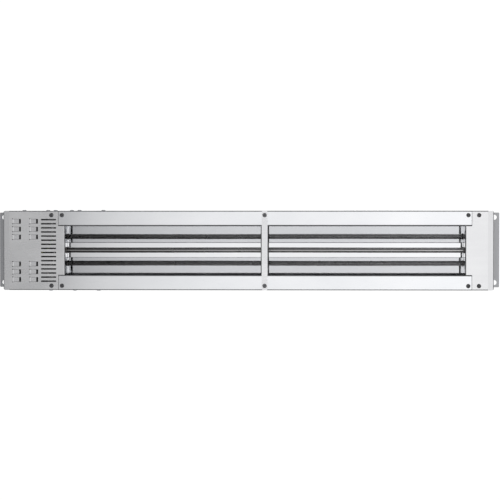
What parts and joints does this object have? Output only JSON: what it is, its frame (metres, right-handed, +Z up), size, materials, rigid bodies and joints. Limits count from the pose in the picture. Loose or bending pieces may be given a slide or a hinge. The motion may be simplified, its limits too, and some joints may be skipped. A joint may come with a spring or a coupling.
{
  "type": "strip food warmer",
  "caption": "Overhead infrared strip food warmer: a stainless channel with a polished reflector trough, a sheathed rod element, a louvred control bay and hanging flanges.",
  "frame": {"origin": "centre of the hanging holes, on the top plane of the hanging flanges", "axes": "+X along the strip from the control bay to the far end, +Z up out of the top, heating face looking down -Z, front side -Y"},
  "size_m": [0.9514, 0.1526, 0.0698],
  "materials": {
    "stainless_shell": "bright satin stainless",
    "stainless_cover": "fine brushed stainless",
    "bracket_steel": "plain mill finish",
    "polished_reflector": "polished, mirror bright",
    "polished_plate": "bright rolled",
    "element_sheath": "heat-darkened satin sheath",
    "plated_steel": "bright zinc plate",
    "screw_steel": "dark passivated",
    "rivet_alloy": "satin",
    "ceramic": "unglazed steatite",
    "porcelain": "glazed porcelain",
    "brass_clamp": "turned brass",
    "tinned_copper": "tin plate",
    "silicone_lead": "braided glass over silicone",
    "earth_lead": "green and yellow insulation",
    "silicone_grommet": "red-brown silicone",
    "fibre_pad": "soft ceramic fibre blanket",
    "black_nylon": "moulded"
  },
  "bodies": {
    "root": {"housing": "stainless_shell", "control_cover": "stainless_cover", "end_cover": "stainless_cover", "cross_strip": "stainless_cover", "element_hanger": "bracket_steel", "reflector": "polished_reflector", "end_plate_left": "polished_plate", "end_plate_right": "polished_plate", "heating_element": "element_sheath", "element_pins": "plated_steel", "element_bushings": "ceramic", "pin_nuts": "plated_steel", "ring_terminals": "tinned_copper", "lead_near": "silicone_lead", "lead_return": "silicone_lead", "ground_lead": "earth_lead", "ground_screw": "screw_steel", "ground_nut": "plated_steel", "terminal_block": "porcelain", "terminal_screws": "brass_clamp", "block_screws": "plated_steel", "insulation_pad": "fibre_pad", "inlet_bushing": "black_nylon", "lead_grommets": "silicone_grommet", "rail_screws": "screw_steel", "cover_screws": "screw_steel", "strip_screws": "screw_steel", "side_screws_front": "plated_steel", "side_screws_rear": "plated_steel", "reflector_screws": "plated_steel", "plate_rivets": "rivet_alloy", "splice_strip_front_upper": "bracket_steel", "splice_strip_front_lower": "bracket_steel", "splice_strip_rear": "bracket_steel"}
  },
  "joints": []
}
